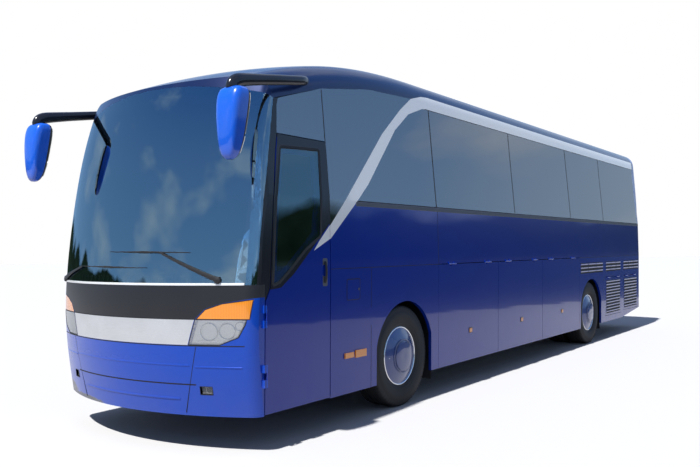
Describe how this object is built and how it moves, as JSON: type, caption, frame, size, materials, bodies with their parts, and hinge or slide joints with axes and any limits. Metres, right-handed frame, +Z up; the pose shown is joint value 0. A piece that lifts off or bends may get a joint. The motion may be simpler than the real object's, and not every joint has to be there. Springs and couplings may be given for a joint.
{
  "type": "touring coach",
  "caption": "Two-axle high-deck touring coach with driver's door, luggage flaps, louvred engine doors and steered front wheels.",
  "frame": {"origin": "on the ground below the middle of the coach's box", "axes": "+X forward, +Y to the coach's left, +Z up"},
  "size_m": [12, 2.85, 3.5873],
  "materials": {
    "body_blue": "gloss",
    "roof_navy": "gloss",
    "silver": "gloss",
    "steel_trim": "brushed",
    "black_gloss": "gloss",
    "black_matte": "matt",
    "tinted_glass": "clear",
    "clear_lens": "clear",
    "amber": "gloss",
    "red_lens": "gloss",
    "frame_steel": "satin",
    "cast_iron": "rough",
    "aluminium": "satin",
    "rubber": "matt",
    "tyre": "matt",
    "wheel_blue": "gloss",
    "seat_fabric": "woven",
    "grey_plastic": "matt",
    "floor_vinyl": "matt"
  },
  "bodies": {
    "coach": {"underframe": "frame_steel", "saloon_floor": "floor_vinyl", "luggage_bay": "aluminium", "wheel_housings": "black_matte", "side_wall_left": "body_blue", "side_wall_right": "body_blue", "roof_shell": "roof_navy", "rear_wall": "body_blue", "windscreen_frame": "black_gloss", "windscreen": "tinted_glass", "side_glass_left": "tinted_glass", "side_glass_right": "tinted_glass", "rear_window": "tinted_glass", "accent_stripes": "silver", "front_bumper": "body_blue", "front_fascia": "body_blue", "front_panel": "black_gloss", "front_trim": "steel_trim", "front_lamps": "clear_lens", "amber_lamps": "amber", "tail_lamps": "red_lens", "passenger_doors": "body_blue", "wipers": "black_matte", "mirror_arms": "black_matte", "mirror_heads": "body_blue", "mudflaps": "rubber", "seat_cushions": "seat_fabric", "seat_backs": "seat_fabric", "seat_frames": "black_matte", "dashboard": "grey_plastic", "luggage_racks": "grey_plastic", "engine": "cast_iron", "front_axle": "cast_iron", "rear_axle": "cast_iron", "air_springs": "rubber"},
    "knuckle_left": {"knuckle_left": "cast_iron"},
    "knuckle_right": {"knuckle_right": "cast_iron"},
    "wheel_front_left": {"rim_front_left": "wheel_blue", "tyre_front_left": "tyre"},
    "wheel_front_right": {"rim_front_right": "wheel_blue", "tyre_front_right": "tyre"},
    "wheel_rear_left": {"rim_rear_left": "wheel_blue", "tyre_rear_left": "tyre"},
    "wheel_rear_right": {"rim_rear_right": "wheel_blue", "tyre_rear_right": "tyre"},
    "steering_wheel": {"steering_wheel": "black_matte"},
    "driver_door": {"driver_door": "body_blue", "driver_door_glass": "tinted_glass"},
    "engine_lid": {"engine_lid": "body_blue"},
    "luggage_flap_left_1": {"luggage_flap_left_1": "body_blue"},
    "luggage_flap_left_2": {"luggage_flap_left_2": "body_blue"},
    "luggage_flap_left_3": {"luggage_flap_left_3": "body_blue"},
    "luggage_flap_right_1": {"luggage_flap_right_1": "body_blue"},
    "luggage_flap_right_2": {"luggage_flap_right_2": "body_blue"},
    "louvre_door_left_1": {"louvre_door_left_1": "body_blue"},
    "louvre_door_left_2": {"louvre_door_left_2": "body_blue"},
    "louvre_door_right_1": {"louvre_door_right_1": "body_blue"},
    "louvre_door_right_2": {"louvre_door_right_2": "body_blue"}
  },
  "joints": [
    {"name": "steer_left", "type": "hinge", "parent": "coach", "child": "knuckle_left", "pos_m": [3.34, 0.93, 0.522], "axis": [0, 0, 1], "range_deg": [-45, 45]},
    {"name": "steer_right", "type": "hinge", "parent": "coach", "child": "knuckle_right", "pos_m": [3.34, -0.93, 0.522], "axis": [0, 0, 1], "range_deg": [-45, 45]},
    {"name": "spin_front_left", "type": "hinge", "parent": "knuckle_left", "child": "wheel_front_left", "pos_m": [3.34, 1.075, 0.522], "axis": [0, 1, 0], "continuous": true},
    {"name": "spin_front_right", "type": "hinge", "parent": "knuckle_right", "child": "wheel_front_right", "pos_m": [3.34, -1.075, 0.522], "axis": [0, 1, 0], "continuous": true},
    {"name": "spin_rear_left", "type": "hinge", "parent": "coach", "child": "wheel_rear_left", "pos_m": [-2.74, 0.9, 0.522], "axis": [0, 1, 0], "continuous": true},
    {"name": "spin_rear_right", "type": "hinge", "parent": "coach", "child": "wheel_rear_right", "pos_m": [-2.74, -0.9, 0.522], "axis": [0, 1, 0], "continuous": true},
    {"name": "steering_wheel_turn", "type": "hinge", "parent": "coach", "child": "steering_wheel", "pos_m": [5.1, 0.76, 1.58], "axis": [-0.4695, 0, 0.8829], "range_deg": [-765, 765]},
    {"name": "driver_door_swing", "type": "hinge", "parent": "coach", "child": "driver_door", "pos_m": [5.504, 1.282, 1.2], "axis": [0, 0, -1], "range_deg": [0, 85]},
    {"name": "engine_lid_lift", "type": "hinge", "parent": "coach", "child": "engine_lid", "pos_m": [-5.994, 0, 1.45], "axis": [0, 1, 0], "range_deg": [0, 90]},
    {"name": "luggage_flap_left_1_lift", "type": "hinge", "parent": "coach", "child": "luggage_flap_left_1", "pos_m": [1.8225, 1.282, 1.46], "axis": [1, 0, 0], "range_deg": [0, 100]},
    {"name": "luggage_flap_left_2_lift", "type": "hinge", "parent": "coach", "child": "luggage_flap_left_2", "pos_m": [0.2555, 1.282, 1.46], "axis": [1, 0, 0], "range_deg": [0, 100]},
    {"name": "luggage_flap_left_3_lift", "type": "hinge", "parent": "coach", "child": "luggage_flap_left_3", "pos_m": [-1.328, 1.282, 1.46], "axis": [1, 0, 0], "range_deg": [0, 100]},
    {"name": "luggage_flap_right_1_lift", "type": "hinge", "parent": "coach", "child": "luggage_flap_right_1", "pos_m": [1.8225, -1.282, 1.46], "axis": [-1, 0, 0], "range_deg": [0, 100]},
    {"name": "luggage_flap_right_2_lift", "type": "hinge", "parent": "coach", "child": "luggage_flap_right_2", "pos_m": [0.2555, -1.282, 1.46], "axis": [-1, 0, 0], "range_deg": [0, 100]},
    {"name": "louvre_door_left_1_lift", "type": "hinge", "parent": "coach", "child": "louvre_door_left_1", "pos_m": [-4.0135, 1.27384, 1.08], "axis": [1, 0, 0], "range_deg": [0, 100]},
    {"name": "louvre_door_left_2_lift", "type": "hinge", "parent": "coach", "child": "louvre_door_left_2", "pos_m": [-5.16, 1.27384, 1.08], "axis": [1, 0, 0], "range_deg": [0, 100]},
    {"name": "louvre_door_right_1_lift", "type": "hinge", "parent": "coach", "child": "louvre_door_right_1", "pos_m": [-4.0135, -1.27384, 1.08], "axis": [-1, 0, 0], "range_deg": [0, 100]},
    {"name": "louvre_door_right_2_lift", "type": "hinge", "parent": "coach", "child": "louvre_door_right_2", "pos_m": [-5.16, -1.27384, 1.08], "axis": [-1, 0, 0], "range_deg": [0, 100]}
  ],
  "couplings": [
    {"joint": "steer_right", "follows": "steer_left", "ratio": 1},
    {"joint": "steering_wheel_turn", "follows": "steer_left", "ratio": 16}
  ]
}
